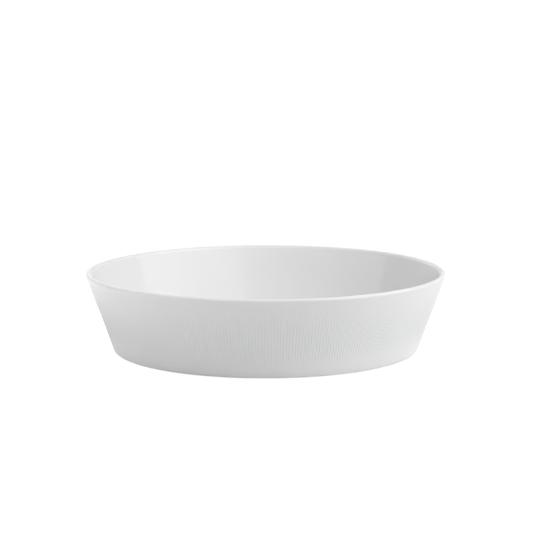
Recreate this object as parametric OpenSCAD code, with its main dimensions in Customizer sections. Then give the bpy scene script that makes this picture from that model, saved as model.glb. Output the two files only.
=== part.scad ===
// A round porcelain serving bowl: a flat floor, one straight wall that leans outwards, and a soft lip.
// The bowl stands on a low foot ring. Origin: centre of the plane it stands on. +Z is up, along its axis.
// The outside is drawn to the crests of the fine upright flutes that the glazed wall carries.

/* [Bowl] */
// Diameter across the widest part of the lip
rim_d = 240; // [200:1:300]
// Height from the table to the top of the lip
height = 55; // [45:0.5:80]
// Diameter at which the wall's outside would meet the underside in a sharp corner
base_d = 204.4; // [190:0.1:215]

/* [Lip] */
// Radius of the small round over the lip's top and outer edge
lip_outer_r = 1.6; // [1.2:0.05:1.75]
// Radius of the larger round that leads from the lip's top down to the inside of the wall
lip_inner_r = 4; // [3:0.1:8]
// Angle above the horizontal at which the glossy glaze ends on the lip's outer edge
glaze_line = 30; // [0:5:60]

/* [Wall and floor] */
// Thickness of the wall just below the lip, glaze included
lip_t = 3.6; // [3.3:0.1:4.5]
// Thickness of the wall where it meets the floor, glaze included
wall_t = 4.2; // [3.6:0.1:5]
// Thickness of the floor, glaze included
floor_t = 4; // [3:0.1:5]
// Radius of the corner between the wall's outside and the underside
base_corner_r = 2.6; // [1.5:0.1:4]
// Radius of the corner between the wall's inside and the floor
floor_corner_r = 9; // [5:0.5:14]

/* [Foot ring] */
// Outside diameter of the foot ring
foot_d = 176; // [150:1:180]
// Width of the foot ring
foot_w = 4; // [3:0.1:6]
// Height of the foot ring below the glazed underside
foot_h = 2; // [1.5:0.1:3]
// Radius of the foot ring's ground edges
foot_edge_r = 0.7; // [0.4:0.1:1]

/* [Glaze] */
// Thickness of each coat of glaze
glaze_t = 0.3; // [0.2:0.05:0.5]

/* [Hidden] */
$fn = 128;

floor_z = foot_h + floor_t;
// Centre of the lip's outer round
lip_c = [rim_d / 2 - lip_outer_r, height - lip_outer_r];

// The wall's outside runs from the sharp base corner to touch the lip's outer round.
base_to_lip = lip_c - [base_d / 2, foot_h];
outer_lean = atan2(base_to_lip.x, base_to_lip.y) + asin(lip_outer_r / norm(base_to_lip));
// The wall's inside leans a little more, so that the wall grows thicker downwards.
inner_lean = outer_lean + atan((wall_t - lip_t) / norm(base_to_lip));
// Directions square to the wall's two faces, pointing out of the bowl
outer_normal = [cos(outer_lean), -sin(outer_lean)];
inner_normal = [cos(inner_lean), -sin(inner_lean)];

// Distance from the centre of the lip's outer round to the wall's inside
lip_to_inside = lip_t - lip_outer_r;
// The two rounds of the lip touch at this angle above the wall's inner face.
lip_turn = acos(1 - (lip_to_inside - lip_outer_r) / (lip_inner_r - lip_outer_r));
// Direction from both of their centres to the point where they touch
lip_touch = [cos(180 - inner_lean - lip_turn), sin(180 - inner_lean - lip_turn)];
// Centre of the lip's inner round
lip_inner_c = lip_c - (lip_inner_r - lip_outer_r) * lip_touch;

// Centre of the round between the wall's outside and the underside
base_c = [
    base_d / 2 - base_corner_r * tan((90 - outer_lean) / 2),
    foot_h + base_corner_r
];
// Centre of the round between the wall's inside and the floor
floor_c_z = floor_z + floor_corner_r;
floor_c = [
    lip_c.x + ((floor_c_z - lip_c.y) * sin(inner_lean) - lip_to_inside - floor_corner_r) / cos(inner_lean),
    floor_c_z
];
// A point in the middle of the porcelain where the wall turns into the floor
turn_mid = (floor_c + floor_corner_r * inner_normal + base_c + base_corner_r * outer_normal) / 2;
// How far the cutting shapes reach past what they cut
past = 1;

// Half of the bowl's section without its foot ring, with every face moved inwards by inset
module bowl_section(inset) {
    difference() {
        union() {
            polygon([
                [0, foot_h + inset],
                [base_c.x, foot_h + inset],
                base_c,
                base_c + (base_corner_r - inset) * outer_normal,
                lip_c + (lip_outer_r - inset) * outer_normal,
                lip_c,
                lip_inner_c - (lip_inner_r - inset) * inner_normal,
                floor_c + (floor_corner_r + inset) * inner_normal,
                floor_c,
                [floor_c.x, floor_z - inset],
                [0, floor_z - inset]
            ]);
            translate(base_c) circle(r = base_corner_r - inset);
            translate(lip_c) circle(r = lip_outer_r - inset);
            intersection() {
                translate(lip_inner_c) circle(r = lip_inner_r - inset);
                polygon([
                    lip_c,
                    lip_inner_c - (lip_inner_r - inset) * inner_normal,
                    lip_inner_c - (lip_inner_r + past) * inner_normal,
                    lip_inner_c + (lip_inner_r + past) * lip_touch
                ]);
            }
        }
        translate(floor_c) circle(r = floor_corner_r + inset);
    }
}

// The food side of a line that runs inside the porcelain and leaves through the outer edge of the lip
module food_side() {
    polygon([
        [-past, (foot_h + floor_z) / 2],
        [floor_c.x, (foot_h + floor_z) / 2],
        turn_mid,
        lip_c,
        lip_c + (lip_outer_r + past) * [cos(glaze_line), sin(glaze_line)],
        [rim_d / 2, height + past],
        [-past, height + past]
    ]);
}

// The glaze all over the bowl, inside and out
module glaze_section() {
    difference() {
        bowl_section(0);
        bowl_section(glaze_t);
    }
}

// The unglazed strip under the bowl that the foot ring takes up, out to reach_d
module inside_of(reach_d) {
    translate([-past, -past]) square([reach_d / 2 + past, floor_z / 2 + past]);
}

// Floor and leaning wall, in fired porcelain
module porcelain_body() {
    color([0.93, 0.93, 0.91]) rotate_extrude() bowl_section(glaze_t);
}

// The ring that the bowl stands on, in one with the body on the real bowl, with its glaze wiped off
module foot_ring() {
    color([0.86, 0.84, 0.79]) rotate_extrude() translate([foot_d / 2 - foot_w, 0]) {
        translate([0, foot_edge_r]) square([foot_w, foot_h + glaze_t - foot_edge_r]);
        translate([foot_edge_r, 0]) square([foot_w - 2 * foot_edge_r, 2 * foot_edge_r]);
        for (x = [foot_edge_r, foot_w - foot_edge_r])
            translate([x, foot_edge_r]) circle(r = foot_edge_r);
    }
}

// The glossy glaze on the floor, the inside of the wall and over the top of the lip
module inside_glaze() {
    color([0.97, 0.97, 0.97]) rotate_extrude() intersection() {
        glaze_section();
        food_side();
    }
}

// The satin glaze from the lip's outer edge, down the fluted wall and under the bowl as far as the foot ring
module outside_glaze() {
    color([0.9, 0.91, 0.91]) rotate_extrude() difference() {
        glaze_section();
        food_side();
        inside_of(foot_d);
    }
}

// The round of glaze inside the foot ring
module underside_glaze() {
    color([0.88, 0.89, 0.9]) translate([0, 0, foot_h])
        cylinder(r = foot_d / 2 - foot_w, h = glaze_t);
}

porcelain_body();
foot_ring();
inside_glaze();
outside_glaze();
underside_glaze();
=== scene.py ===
import math

import bpy
import numpy as np
from mathutils import Matrix, Vector


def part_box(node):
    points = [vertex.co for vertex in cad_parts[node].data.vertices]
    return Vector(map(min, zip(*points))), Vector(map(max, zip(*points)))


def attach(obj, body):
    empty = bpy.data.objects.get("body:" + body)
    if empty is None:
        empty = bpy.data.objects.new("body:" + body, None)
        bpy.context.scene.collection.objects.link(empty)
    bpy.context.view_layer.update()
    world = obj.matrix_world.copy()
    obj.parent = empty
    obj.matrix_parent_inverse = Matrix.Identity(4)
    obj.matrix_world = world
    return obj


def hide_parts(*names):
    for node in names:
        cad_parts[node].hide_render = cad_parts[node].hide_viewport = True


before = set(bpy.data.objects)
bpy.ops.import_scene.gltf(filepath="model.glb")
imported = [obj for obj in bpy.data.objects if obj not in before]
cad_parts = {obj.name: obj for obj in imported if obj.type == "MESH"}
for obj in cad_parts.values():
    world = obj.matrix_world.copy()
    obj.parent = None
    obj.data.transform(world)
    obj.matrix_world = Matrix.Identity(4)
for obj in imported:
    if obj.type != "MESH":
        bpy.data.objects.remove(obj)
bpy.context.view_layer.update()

MM = 0.001
TAU = 2 * math.pi


def reach(node):
    """The largest distance of a CAD node from the bowl's axis."""
    return max(math.hypot(v.co.x, v.co.y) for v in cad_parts[node].data.vertices)


# ---- The bowl's sizes: what the frame gives, then what its boxes can't show ----

RIM_R = reach("outside_glaze")
FOOT_R = reach("foot_ring")
FOOT_INNER_R = reach("underside_glaze")
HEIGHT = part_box("inside_glaze")[1].z
FOOT_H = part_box("outside_glaze")[0].z
GLAZE_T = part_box("underside_glaze")[1].z - FOOT_H
FLOOR_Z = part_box("inside_glaze")[0].z + GLAZE_T

BASE_R = 102.2 * MM          # where the wall's outside and the underside would meet in a sharp corner
BASE_CORNER_R = 2.6 * MM
FLOOR_CORNER_R = 9.0 * MM
LIP_OUTER_R = 1.6 * MM
LIP_INNER_R = 4.0 * MM
LIP_T = 3.6 * MM             # thickness of the wall just below the lip
WALL_T = 4.2 * MM            # thickness of the wall at the floor
GLAZE_LINE = math.radians(30)  # where the glossy glaze ends, above the horizontal on the lip's outer edge
FOOT_EDGE_R = 0.7 * MM

FLUTES = 360
FLUTE_STEPS = 6              # mesh columns to a flute
FLUTE_DEPTH = 0.26 * MM
FLUTE_START = 4.0 * MM       # height of the plain band at the top, lip included
FLUTE_ONSET = 0.35           # share of their depth that the flutes reach in a short step below the band
FLUTE_STEP = 2.5 * MM
FLUTE_FADE_IN = 28.0 * MM    # height below the top band over which the rest of their depth comes
FLUTE_END = 3.0 * MM         # height of the plain band at the base
FLUTE_FADE_OUT = 17.0 * MM   # height above that band over which they deepen


# ---- The bowl's section, as centres, normals and rows of points (radius, height) ----

def polar(angle):
    """The unit vector at an angle above the horizontal, pointing away from the axis at 0."""
    return np.array([math.cos(angle), math.sin(angle)])


LIP_C = np.array([RIM_R - LIP_OUTER_R, HEIGHT - LIP_OUTER_R])
BASE_TO_LIP = LIP_C - np.array([BASE_R, FOOT_H])
BASE_TO_LIP_LENGTH = math.hypot(*BASE_TO_LIP)
OUTER_LEAN = math.atan2(*BASE_TO_LIP) + math.asin(LIP_OUTER_R / BASE_TO_LIP_LENGTH)
INNER_LEAN = OUTER_LEAN + math.atan((WALL_T - LIP_T) / BASE_TO_LIP_LENGTH)
OUTER_NORMAL = polar(-OUTER_LEAN)
INNER_NORMAL = polar(-INNER_LEAN)

LIP_TO_INSIDE = LIP_T - LIP_OUTER_R
LIP_TURN = math.acos(1 - (LIP_TO_INSIDE - LIP_OUTER_R) / (LIP_INNER_R - LIP_OUTER_R))
LIP_TOUCH = math.pi - INNER_LEAN - LIP_TURN
LIP_INNER_C = LIP_C - (LIP_INNER_R - LIP_OUTER_R) * polar(LIP_TOUCH)

BASE_C = np.array([
    BASE_R - BASE_CORNER_R * math.tan((math.pi / 2 - OUTER_LEAN) / 2),
    FOOT_H + BASE_CORNER_R,
])
FLOOR_C_Z = FLOOR_Z + FLOOR_CORNER_R
FLOOR_C = np.array([
    LIP_C[0] + ((FLOOR_C_Z - LIP_C[1]) * math.sin(INNER_LEAN) - LIP_TO_INSIDE - FLOOR_CORNER_R)
    / math.cos(INNER_LEAN),
    FLOOR_C_Z,
])


def arc(centre, radius, start, end, steps):
    """Points on an arc, both ends included."""
    return [centre + radius * polar(a) for a in np.linspace(start, end, steps + 1)]


def line(start, end, steps):
    """Points between start and end, neither of them included."""
    return [start + (end - start) * t for t in np.linspace(0, 1, steps + 1)[1:-1]]


def outside_section(inset, lip_steps, wall_steps, corner_steps):
    """From the glaze line on the lip, down the wall and round the base corner to the foot ring."""
    lip = arc(LIP_C, LIP_OUTER_R - inset, GLAZE_LINE, -OUTER_LEAN, lip_steps)
    corner = arc(BASE_C, BASE_CORNER_R - inset, -OUTER_LEAN, -math.pi / 2, corner_steps)
    foot = np.array([FOOT_R, FOOT_H + inset])
    return lip + line(lip[-1], corner[0], wall_steps) + corner + line(corner[-1], foot, 2) + [foot]


def inside_section(inset, lip_steps, wall_steps, corner_steps, floor_steps):
    """From the glaze line over the lip, down the wall and across the floor to the axis."""
    lip = arc(LIP_C, LIP_OUTER_R - inset, GLAZE_LINE, LIP_TOUCH, lip_steps)
    shoulder = arc(LIP_INNER_C, LIP_INNER_R - inset, LIP_TOUCH, math.pi - INNER_LEAN, lip_steps)
    corner = arc(FLOOR_C, FLOOR_CORNER_R + inset, -INNER_LEAN, -math.pi / 2, corner_steps)
    axis = np.array([0.0, FLOOR_Z - inset])
    return (lip + shoulder[1:] + line(shoulder[-1], corner[0], wall_steps) + corner
            + line(corner[-1], axis, floor_steps) + [axis])


# ---- Mesh making ----

AT_AXIS = 1e-9                   # a point nearer to the axis than this lies on it
SHARP_ANGLE = math.radians(50)   # edges that turn by more than this are shown sharp


def revolve(name, rows, columns, depths=None, groove=None):
    """A closed solid: rows of points turned round the axis. Rows on the axis become single points.

    depths says how far each row is pressed in, square to the wall's outside. It is multiplied by
    groove, which has one value for each column.
    """
    rows = np.array(rows)
    depths = np.zeros(len(rows)) if depths is None else np.array(depths)
    groove = np.zeros(columns) if groove is None else groove
    angles = np.arange(columns) * TAU / columns
    verts = []
    starts = []
    for (r, z), depth in zip(rows, depths):
        starts.append(len(verts))
        if r < AT_AXIS:
            verts.append((0.0, 0.0, z))
            continue
        rs = r - depth * groove * OUTER_NORMAL[0]
        zs = z - depth * groove * OUTER_NORMAL[1]
        verts.extend(zip(rs * np.cos(angles), rs * np.sin(angles), zs))
    faces = []
    count = len(rows)
    open_ends = rows[0][0] < AT_AXIS or rows[-1][0] < AT_AXIS
    for i in range(count - 1 if open_ends else count):
        a = starts[i]
        b = starts[(i + 1) % count]
        a_point = rows[i][0] < AT_AXIS
        b_point = rows[(i + 1) % count][0] < AT_AXIS
        for j in range(columns):
            k = (j + 1) % columns
            if a_point:
                faces.append((a, b + j, b + k))
            elif b_point:
                faces.append((a + j, b, a + k))
            else:
                faces.append((a + j, b + j, b + k, a + k))
    mesh = bpy.data.meshes.new(name)
    mesh.from_pydata(verts, [], faces)
    mesh.shade_smooth()
    mesh.set_sharp_from_angle(angle=SHARP_ANGLE)
    mesh.update()
    piece = bpy.data.objects.new(name, mesh)
    bpy.context.scene.collection.objects.link(piece)
    return piece


def smooth_step(x):
    """0 up to 0, 1 from 1 on, and a soft change between them."""
    x = np.clip(x, 0, 1)
    return x * x * (3 - 2 * x)


def flute_depths(rows):
    """How deep the flutes are at each row of the outside, from the row's height."""
    heights = np.array(rows)[:, 1]
    below_band = HEIGHT - FLUTE_START - heights
    fade_in = (FLUTE_ONSET * smooth_step(below_band / FLUTE_STEP)
               + (1 - FLUTE_ONSET) * smooth_step(below_band / FLUTE_FADE_IN))
    fade_out = smooth_step((heights - FOOT_H - FLUTE_END) / FLUTE_FADE_OUT)
    return list(FLUTE_DEPTH * fade_in * fade_out)


def flute_profile():
    """One turn of flutes, 0 on a ridge and 1 in the middle of a flute: hollows that meet in soft ridges."""
    phase = np.tile(np.arange(FLUTE_STEPS) / FLUTE_STEPS, FLUTES)
    hollow = 4 * phase * (1 - phase)
    wave = (1 - np.cos(TAU * phase)) / 2
    return 0.5 * hollow + 0.5 * wave


# ---- Materials. Their patterns are laid out in the bowl's own frame, in metres ----

def node(tree, kind, inputs, **settings):
    """A new node. Each input, by name or number, is a plain value or another node's output."""
    made = tree.nodes.new("ShaderNode" + kind)
    for name, value in settings.items():
        setattr(made, name, value)
    for name, value in inputs.items():
        if isinstance(value, bpy.types.NodeSocket):
            tree.links.new(value, made.inputs[name])
        else:
            made.inputs[name].default_value = value
    return made


def maths(tree, operation, first, second=0.0):
    """One sum. Each term is a number or another node's output."""
    return node(tree, "Math", {0: first, 1: second}, operation=operation).outputs[0]


def ramp(tree, value, start, end, low=0.0, high=1.0):
    """low up to start, high from end on, and a soft change between them. start may be the larger one."""
    if start > end:
        start, end, low, high = end, start, high, low
    inputs = {"Value": value, "From Min": start, "From Max": end, "To Min": low, "To Max": high}
    return node(tree, "MapRange", inputs, interpolation_type="SMOOTHSTEP").outputs["Result"]


def noise(tree, place, size, detail=2.0):
    """Soft random blotches about size across, mostly between 0.3 and 0.7."""
    inputs = {"Vector": place, "Scale": 1 / size, "Detail": detail, "Roughness": 0.55}
    return node(tree, "TexNoise", inputs).outputs["Fac"]


def specks(tree, place, spacing, radius, share):
    """Round dots of up to radius, 1 inside and 0 outside. share is how many of the possible ones show."""
    cells = node(tree, "TexVoronoi", {"Vector": place, "Scale": 1 / spacing})
    dot = ramp(tree, cells.outputs["Distance"], radius / spacing, 0.5 * radius / spacing)
    pick = node(tree, "SeparateColor", {"Color": cells.outputs["Color"]}).outputs["Red"]
    return maths(tree, "MULTIPLY", dot, maths(tree, "LESS_THAN", pick, share))


def blend(tree, factor, start, end):
    """The colour start where factor is 0, and end where it is 1."""
    colours = [c if isinstance(c, bpy.types.NodeSocket) else (*c, 1) for c in (start, end)]
    return node(tree, "Mix", {0: factor, 6: colours[0], 7: colours[1]}, data_type="RGBA").outputs[2]


def relief(tree, layers):
    """Bumps on top of each other. Each layer is its heights, from 0 to 1, and how tall 1 is."""
    normal = None
    for heights, tall in layers:
        inputs = {"Height": heights, "Distance": tall, "Strength": 1.0}
        if normal:
            inputs["Normal"] = normal
        normal = node(tree, "Bump", inputs).outputs["Normal"]
    return normal


class Finish:
    """A new material: its node tree and shader, and each point's place, height and radius in the bowl."""

    def __init__(self, name, ior):
        self.material = bpy.data.materials.new(name)
        self.material.use_nodes = True
        self.tree = self.material.node_tree
        self.shader = self.tree.nodes["Principled BSDF"]
        self.shader.inputs["IOR"].default_value = ior
        self.place = self.tree.nodes.new("ShaderNodeTexCoord").outputs["Object"]
        parts = node(self.tree, "SeparateXYZ", {"Vector": self.place})
        self.x, self.y, self.height = (parts.outputs[axis] for axis in "XYZ")
        flat = node(self.tree, "CombineXYZ", {"X": self.x, "Y": self.y}).outputs["Vector"]
        self.radius = node(self.tree, "VectorMath", {0: flat}, operation="LENGTH").outputs["Value"]

    def set(self, **sockets):
        """Links outputs to the shader, as set(Base_Color=colour)."""
        for name, output in sockets.items():
            self.tree.links.new(output, self.shader.inputs[name.replace("_", " ")])
        return self.material


GLAZED_WHITE = (0.823, 0.828, 0.823)
THIN_GLAZE = (0.812, 0.812, 0.800)        # where the glaze drew back and the porcelain shows through
POOLED_GLAZE = (0.778, 0.796, 0.790)      # where it ran together
SATIN_WHITE = (0.818, 0.823, 0.818)
# Deeper satin tone, also the colour of the painted shade in the flute hollows.
SATIN_TONE_AND_SHADE = (0.770, 0.784, 0.779)
KILN_SPECK = (0.42, 0.36, 0.29)
BISCUIT_WHITE = (0.80, 0.79, 0.75)
BISCUIT_SHADE = (0.74, 0.725, 0.68)
WORN_GREY = (0.47, 0.46, 0.45)

LIP_THIN = 1.2 * MM          # height at the lip over which the glossy glaze looks thinner
LIP_SOFT = 4.5 * MM          # height at the lip over which it loses its gloss
LIP_ROUGHNESS = 0.4
POOL_H = 7.0 * MM            # height above the floor of the ring where it pooled
POOL_INWARD = 9.0 * MM       # how far that ring reaches in from the floor corner's centre
POOL_OUTWARD = 3.0 * MM
FLUTE_SHADE_REACH = 0.7             # the painted shade in the flute hollows comes in over this share of FLUTE_FADE_IN
BASE_TONE_H = 3.0 * MM       # height at the base over which the satin glaze is deeper in tone
UNDER_POOL = 4.0 * MM        # width of the pooled edge inside the foot ring
TURNING_PITCH = 1.6 * MM
WORN_FROM = 0.5 * MM         # height on the foot ring below which wear begins
WORN_TO = 0.05 * MM          # height below which it is full


def glossy_glaze():
    """Clear glaze on white porcelain: faint orange peel, thinner on the lip, pooled round the floor."""
    finish = Finish("glossy_glaze", 1.5)
    tree, place = finish.tree, finish.place
    mottle = noise(tree, place, 45 * MM, 4)
    colour = blend(tree, ramp(tree, mottle, 0.35, 0.7, 0, 0.25), GLAZED_WHITE, POOLED_GLAZE)
    pool_low = ramp(tree, finish.height, FLOOR_Z + POOL_H, FLOOR_Z)
    pool_wide = ramp(tree, finish.radius, FLOOR_C[0] - POOL_INWARD, FLOOR_C[0] + POOL_OUTWARD)
    pool = maths(tree, "MULTIPLY", pool_low, pool_wide)
    colour = blend(tree, maths(tree, "MULTIPLY", pool, 0.7), colour, POOLED_GLAZE)
    thin = maths(tree, "MULTIPLY", ramp(tree, finish.height, HEIGHT - LIP_THIN, HEIGHT), mottle)
    colour = blend(tree, thin, colour, THIN_GLAZE)
    dots = specks(tree, place, spacing=4 * MM, radius=0.14 * MM, share=0.15)
    colour = blend(tree, maths(tree, "MULTIPLY", dots, 0.45), colour, KILN_SPECK)
    handling = noise(tree, place, 22 * MM, 5)
    roughness = ramp(tree, handling, 0.3, 0.75, 0.02, 0.04)
    crest = ramp(tree, finish.height, HEIGHT - LIP_SOFT, HEIGHT, 0, LIP_ROUGHNESS)
    roughness = maths(tree, "ADD", roughness, crest)
    waviness = noise(tree, place, 38 * MM, 1)
    orange_peel = noise(tree, place, 2.6 * MM, 1)
    pits = maths(tree, "SUBTRACT", 1.0, dots)
    normal = relief(tree, [
        (waviness, 0.008 * MM),
        (orange_peel, 0.0006 * MM),
        (pits, 0.01 * MM),
    ])
    return finish.set(Base_Color=colour, Roughness=roughness, Normal=normal)


def satin_glaze():
    """Satin glaze: a fine dry grain, random deeper tone, and painted shade that darkens the flute hollows.
    """
    finish = Finish("satin_glaze", 1.48)
    tree, place = finish.tree, finish.place
    turn = maths(tree, "MULTIPLY", maths(tree, "ARCTAN2", finish.y, finish.x), FLUTES)
    hollow = ramp(tree, maths(tree, "COSINE", turn), 0.9, -0.9)
    top = HEIGHT - FLUTE_START
    bottom = FOOT_H + FLUTE_END
    below_lip = ramp(tree, finish.height, top, top - FLUTE_SHADE_REACH * FLUTE_FADE_IN)
    above_base = ramp(tree, finish.height, bottom, bottom + FLUTE_FADE_OUT)
    flute_shade = maths(tree, "MULTIPLY", maths(tree, "MULTIPLY", below_lip, above_base), hollow)
    cloud = noise(tree, place, 30 * MM, 4)
    colour = blend(tree, ramp(tree, cloud, 0.35, 0.7, 0, 0.2), SATIN_WHITE, SATIN_TONE_AND_SHADE)
    # Painted shade: the flute hollows are darkened towards this colour, standing in for the shade that
    # falls in them.
    colour = blend(tree, flute_shade, colour, SATIN_TONE_AND_SHADE)
    base_tone = ramp(tree, finish.height, FOOT_H + BASE_TONE_H, FOOT_H, 0, 0.2)
    colour = blend(tree, base_tone, colour, SATIN_TONE_AND_SHADE)
    dots = specks(tree, place, spacing=4 * MM, radius=0.12 * MM, share=0.15)
    colour = blend(tree, maths(tree, "MULTIPLY", dots, 0.4), colour, KILN_SPECK)
    # Ridges and plain bands get rubbed a little smoother than the flutes.
    rubbed = maths(tree, "MULTIPLY", maths(tree, "SUBTRACT", 1.0, flute_shade), 0.05)
    patchy = ramp(tree, noise(tree, place, 6 * MM, 4), 0.3, 0.7, 0.36, 0.44)
    roughness = maths(tree, "SUBTRACT", patchy, rubbed)
    waviness = noise(tree, place, 30 * MM, 1)
    grain = noise(tree, place, 0.5 * MM, 3)
    normal = relief(tree, [
        (waviness, 0.02 * MM),
        (grain, 0.002 * MM),
    ])
    return finish.set(Base_Color=colour, Roughness=roughness, Normal=normal)


def underside_glaze():
    """The glaze inside the foot ring: turning lines under it, kiln dust, and a pooled edge at the ring."""
    finish = Finish("underside_glaze", 1.48)
    tree, place = finish.tree, finish.place
    edge = ramp(tree, finish.radius, FOOT_INNER_R - UNDER_POOL, FOOT_INNER_R)
    cloud = ramp(tree, noise(tree, place, 18 * MM, 4), 0.35, 0.7, 0, 0.4)
    colour = blend(tree, cloud, SATIN_WHITE, SATIN_TONE_AND_SHADE)
    colour = blend(tree, maths(tree, "MULTIPLY", edge, 0.8), colour, POOLED_GLAZE)
    dots = specks(tree, place, spacing=2.2 * MM, radius=0.18 * MM, share=0.35)
    colour = blend(tree, maths(tree, "MULTIPLY", dots, 0.7), colour, KILN_SPECK)
    wander = maths(tree, "MULTIPLY", noise(tree, place, 9 * MM), 6.0)
    turns = maths(tree, "MULTIPLY", finish.radius, TAU / TURNING_PITCH)
    rings = maths(tree, "SINE", maths(tree, "ADD", turns, wander))
    roughness = ramp(tree, noise(tree, place, 5 * MM, 3), 0.3, 0.7, 0.24, 0.36)
    turning_lines = ramp(tree, rings, -1, 1)
    grain = noise(tree, place, 0.8 * MM, 2)
    normal = relief(tree, [
        (turning_lines, 0.012 * MM),
        (grain, 0.006 * MM),
        (dots, 0.03 * MM),
    ])
    return finish.set(Base_Color=colour, Roughness=roughness, Normal=normal)


def bare_foot():
    """Unglazed porcelain: dry and sandy, with grey smears and a slight polish where it slid on tables."""
    finish = Finish("bare_foot", 1.5)
    tree, place = finish.tree, finish.place
    grain = noise(tree, place, 0.45 * MM, 5)
    colour = blend(tree, ramp(tree, grain, 0.35, 0.65), BISCUIT_WHITE, BISCUIT_SHADE)
    low = ramp(tree, finish.height, WORN_FROM, WORN_TO)
    smears = ramp(tree, noise(tree, place, 3.5 * MM, 5), 0.45, 0.62)
    worn = maths(tree, "MULTIPLY", low, smears)
    colour = blend(tree, maths(tree, "MULTIPLY", worn, 0.55), colour, WORN_GREY)
    dry = ramp(tree, grain, 0.3, 0.7, 0.82, 0.95)
    polish = maths(tree, "MULTIPLY", worn, 0.3)
    roughness = maths(tree, "SUBTRACT", dry, polish)
    pits = specks(tree, place, spacing=0.9 * MM, radius=0.22 * MM, share=0.5)
    normal = relief(tree, [
        (grain, 0.05 * MM),
        (maths(tree, "SUBTRACT", 1.0, pits), 0.06 * MM),
    ])
    return finish.set(Base_Color=colour, Roughness=roughness, Normal=normal)


def biscuit():
    """Fired porcelain without glaze, for the hidden body: warm white, dense and faintly sugary."""
    finish = Finish("porcelain", 1.5)
    tree, place = finish.tree, finish.place
    grain = noise(tree, place, 0.35 * MM, 4)
    cloud = noise(tree, place, 14 * MM, 3)
    shade = maths(tree, "MULTIPLY", ramp(tree, grain, 0.3, 0.7), ramp(tree, cloud, 0.3, 0.7, 0.4, 1))
    colour = blend(tree, shade, BISCUIT_WHITE, BISCUIT_SHADE)
    roughness = ramp(tree, grain, 0.3, 0.7, 0.72, 0.9)
    normal = relief(tree, [(grain, 0.03 * MM)])
    return finish.set(Base_Color=colour, Roughness=roughness, Normal=normal)


GLOSSY = glossy_glaze()
SATIN = satin_glaze()
UNDER = underside_glaze()
BARE = bare_foot()
BISCUIT = biscuit()


# ---- The pieces. The columns are the mesh's steps round the bowl ----

INSIDE_COLUMNS = 720
UNDERSIDE_COLUMNS = 360
UNDERSIDE_ROWS = 20
FOOT_COLUMNS = 720


def finish_piece(piece, material, node):
    """Gives a piece its material, hangs it under the root body, and hides the CAD node that it stands in
    for.
    """
    piece.data.materials.append(material)
    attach(piece, "root")
    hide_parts(node)


def make_outside():
    face = outside_section(0, lip_steps=5, wall_steps=21, corner_steps=6)
    back = outside_section(GLAZE_T, lip_steps=2, wall_steps=2, corner_steps=3)[::-1]
    depths = flute_depths(face) + [0.0] * len(back)
    piece = revolve("outside_shell", face + back, FLUTES * FLUTE_STEPS, depths, flute_profile())
    finish_piece(piece, SATIN, "outside_glaze")


def make_inside():
    face = inside_section(0, lip_steps=10, wall_steps=24, corner_steps=16, floor_steps=16)
    back = inside_section(GLAZE_T, lip_steps=4, wall_steps=2, corner_steps=6, floor_steps=2)
    # The face runs from the axis up to the glaze line, and the back runs down again to the axis.
    piece = revolve("inside_shell", face[::-1] + back, INSIDE_COLUMNS)
    finish_piece(piece, GLOSSY, "inside_glaze")


def make_underside():
    top = FOOT_H + GLAZE_T
    rows = [np.array([r, FOOT_H]) for r in np.linspace(0, FOOT_INNER_R, UNDERSIDE_ROWS)]
    rows += [np.array([FOOT_INNER_R, top]), np.array([0, top])]
    piece = revolve("underside_disc", rows, UNDERSIDE_COLUMNS)
    finish_piece(piece, UNDER, "underside_glaze")


def make_foot():
    top = FOOT_H + GLAZE_T
    outer = np.array([FOOT_R - FOOT_EDGE_R, FOOT_EDGE_R])
    inner = np.array([FOOT_INNER_R + FOOT_EDGE_R, FOOT_EDGE_R])
    rows = [np.array([FOOT_R, top])] + arc(outer, FOOT_EDGE_R, 0, -math.pi / 2, steps=5)
    rows += arc(inner, FOOT_EDGE_R, -math.pi / 2, -math.pi, steps=5) + [np.array([FOOT_INNER_R, top])]
    piece = revolve("standing_ring", rows, FOOT_COLUMNS)
    finish_piece(piece, BARE, "foot_ring")


make_outside()
make_inside()
make_underside()
make_foot()

# The CAD's own body is kept, and gets a material.
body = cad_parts["porcelain_body"]
body.data.materials.clear()
body.data.materials.append(BISCUIT)


# ---- Camera ----

VIEW_DISTANCE = 10.8 * RIM_R
VIEW_ELEVATION = math.radians(11.1)
CAMERA_PITCH = math.radians(8.685)     # how far it is tipped down, so that it aims a little over the bowl
CAMERA_YAW = math.radians(0.022)
CAMERA_ROLL = math.radians(-0.085)
LENS = 129.4                           # in millimetres, like the sensor's width
SENSOR = 36.0


def make_camera():
    data = bpy.data.cameras.new("camera")
    data.lens = LENS
    data.sensor_width = SENSOR
    data.clip_start = 0.05
    data.clip_end = 200
    camera = bpy.data.objects.new("camera", data)
    bpy.context.scene.collection.objects.link(camera)
    turn = (Matrix.Rotation(-CAMERA_YAW, 4, "Z")
            @ Matrix.Rotation(math.pi / 2 - CAMERA_PITCH, 4, "X")
            @ Matrix.Rotation(CAMERA_ROLL, 4, "Z"))
    place = Vector((0, -VIEW_DISTANCE * math.cos(VIEW_ELEVATION),
                    FOOT_H + VIEW_DISTANCE * math.sin(VIEW_ELEVATION)))
    camera.matrix_world = Matrix.Translation(place) @ turn
    bpy.context.scene.camera = camera


make_camera()


# ---- Stage: floor, surroundings and soft lights. Brightness 1 is the white of the picture ----

FLOOR_HALF = 60.0
PAPER_WHITE = (0.85, 0.85, 0.85)
BLACK = (0, 0, 0)
GLOW_NEAR = 0.93             # how bright the floor glows for the camera, next to the bowl
GLOW_FAR = 1.02              # and away from it, like the surroundings
FLOOR_SHEEN = 0.4            # how bright the floor glows for reflections
ROOM_SHEEN = 0.85            # and the surroundings for reflections


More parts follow.
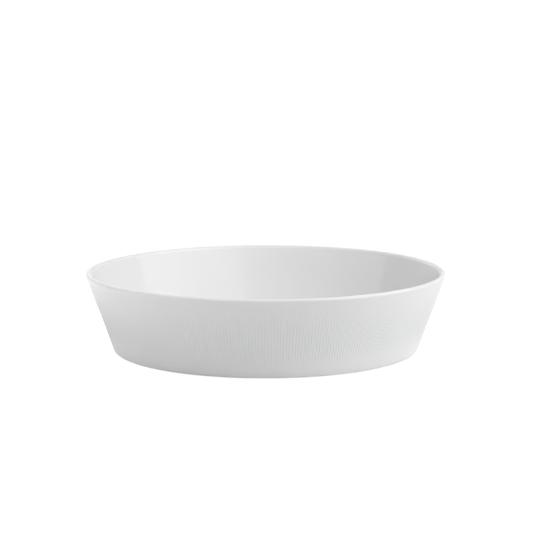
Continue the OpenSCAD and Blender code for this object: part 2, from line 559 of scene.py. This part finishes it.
def make_floor():
    """A white floor that glows like a light table. Away from the bowl the camera sees its glow only."""
    corners = [(x * FLOOR_HALF, y * FLOOR_HALF, 0) for x, y in ((-1, -1), (1, -1), (1, 1), (-1, 1))]
    mesh = bpy.data.meshes.new("floor")
    mesh.from_pydata(corners, [], [(0, 1, 2, 3)])
    floor = bpy.data.objects.new("floor", mesh)
    bpy.context.scene.collection.objects.link(floor)
    material = bpy.data.materials.new("floor_paper")
    material.use_nodes = True
    material.cycles.emission_sampling = "NONE"
    tree = material.node_tree
    tree.nodes.clear()
    place = node(tree, "TexCoord", {}).outputs["Object"]
    distance = node(tree, "VectorMath", {0: place}, operation="LENGTH").outputs["Value"]
    rays = node(tree, "LightPath", {}).outputs
    away = ramp(tree, distance, RIM_R, 2 * RIM_R)
    glow_seen = ramp(tree, away, 0, 1, GLOW_NEAR, GLOW_FAR)
    to_camera = maths(tree, "MULTIPLY", rays["Is Camera Ray"], glow_seen)
    to_gloss = maths(tree, "MULTIPLY", rays["Is Glossy Ray"], FLOOR_SHEEN)
    strength = maths(tree, "ADD", to_camera, to_gloss)
    hidden = maths(tree, "MULTIPLY", rays["Is Camera Ray"], away)
    shown = blend(tree, hidden, PAPER_WHITE, BLACK)
    paper = node(tree, "BsdfDiffuse", {"Color": shown}).outputs["BSDF"]
    glow = node(tree, "Emission", {"Strength": strength}).outputs["Emission"]
    both = node(tree, "AddShader", {0: paper, 1: glow}).outputs["Shader"]
    node(tree, "OutputMaterial", {"Surface": both})
    mesh.materials.append(material)


def make_surroundings():
    """White behind the floor for the camera, and a glow from all round for reflections."""
    world = bpy.data.worlds.new("surroundings")
    world.use_nodes = True
    world.cycles.sampling_method = "NONE"
    tree = world.node_tree
    rays = node(tree, "LightPath", {}).outputs
    to_camera = maths(tree, "MULTIPLY", rays["Is Camera Ray"], GLOW_FAR)
    to_gloss = maths(tree, "MULTIPLY", rays["Is Glossy Ray"], ROOM_SHEEN)
    strength = maths(tree, "ADD", to_camera, to_gloss)
    tree.links.new(strength, tree.nodes["Background"].inputs["Strength"])
    tree.nodes["Background"].inputs["Color"].default_value = (1, 1, 1, 1)
    bpy.context.scene.world = world


def panel(name, centre, toward, width, height, radiance):
    """A soft rectangular light. radiance is how bright it looks, where 1 is white."""
    data = bpy.data.lights.new(name, "AREA")
    data.shape = "RECTANGLE"
    data.size = width
    data.size_y = height
    data.energy = radiance * math.pi * width * height
    light = bpy.data.objects.new(name, data)
    bpy.context.scene.collection.objects.link(light)
    light.location = centre
    light.rotation_mode = "QUATERNION"
    light.rotation_quaternion = (Vector(toward) - Vector(centre)).to_track_quat("-Z", "Y")
    light.visible_camera = False


def upright_panel(name, start, end, bottom, top, radiance):
    """A soft light that stands over the line between two places on the floor, and faces the bowl's side."""
    start, end = Vector(start), Vector(end)
    middle = (start + end) / 2
    along = end - start
    facing = Vector((-along.y, along.x))
    if facing.dot(middle) > 0:
        facing = -facing
    height = (bottom + top) / 2
    toward = middle + facing
    panel(name, (*middle, height), (*toward, height), along.length, top - bottom, radiance)


# Places on the floor where upright panels begin and end. The camera is at the front, towards -Y.
RIGHT_BACK = (1.2, 0.3)
RIGHT_MIDDLE = (0.8, -0.7)
RIGHT_FRONT = (0.5, -1.6)
LEFT_FRONT = (-1.2, -1.9)
LEFT_MIDDLE = (-1.2, -0.6)
LEFT_BACK = (-1.2, 0.2)
FAR_LEFT = (-1.7, 1.8)
FAR_MIDDLE = (0.0, 1.8)

make_floor()
make_surroundings()
# Each upright panel's ends, the heights of its lower and upper edge, and how bright it looks
upright_panel("key_low", RIGHT_BACK, RIGHT_MIDDLE, 0.0, 0.3, 2.1)
upright_panel("key_side", RIGHT_BACK, RIGHT_MIDDLE, 0.3, 0.8, 1.15)
upright_panel("key_high", RIGHT_BACK, RIGHT_MIDDLE, 0.8, 1.8, 4.0)
upright_panel("key_front", RIGHT_MIDDLE, RIGHT_FRONT, 0.4, 1.15, 1.6)
upright_panel("front", RIGHT_FRONT, LEFT_FRONT, 0.75, 1.7, 0.85)
upright_panel("fill_front", LEFT_FRONT, LEFT_MIDDLE, 0.4, 1.6, 1.15)
upright_panel("fill_side", LEFT_MIDDLE, LEFT_BACK, 0.2, 0.75, 0.9)
upright_panel("fill_low", LEFT_MIDDLE, LEFT_BACK, 0.0, 0.2, 3.9)
upright_panel("back_left", FAR_LEFT, FAR_MIDDLE, 0.5, 1.6, 1.5)
panel("overhead", (0, 0, 1.8), (0, 0, 0), 2.0, 2.0, 1.2)
panel("table_left", (-0.45, 0, 0.0005), (-0.45, 0, 1), 0.5, 0.8, 0.75)

bpy.context.scene.view_settings.view_transform = "Standard"
bpy.context.scene.view_settings.look = "None"
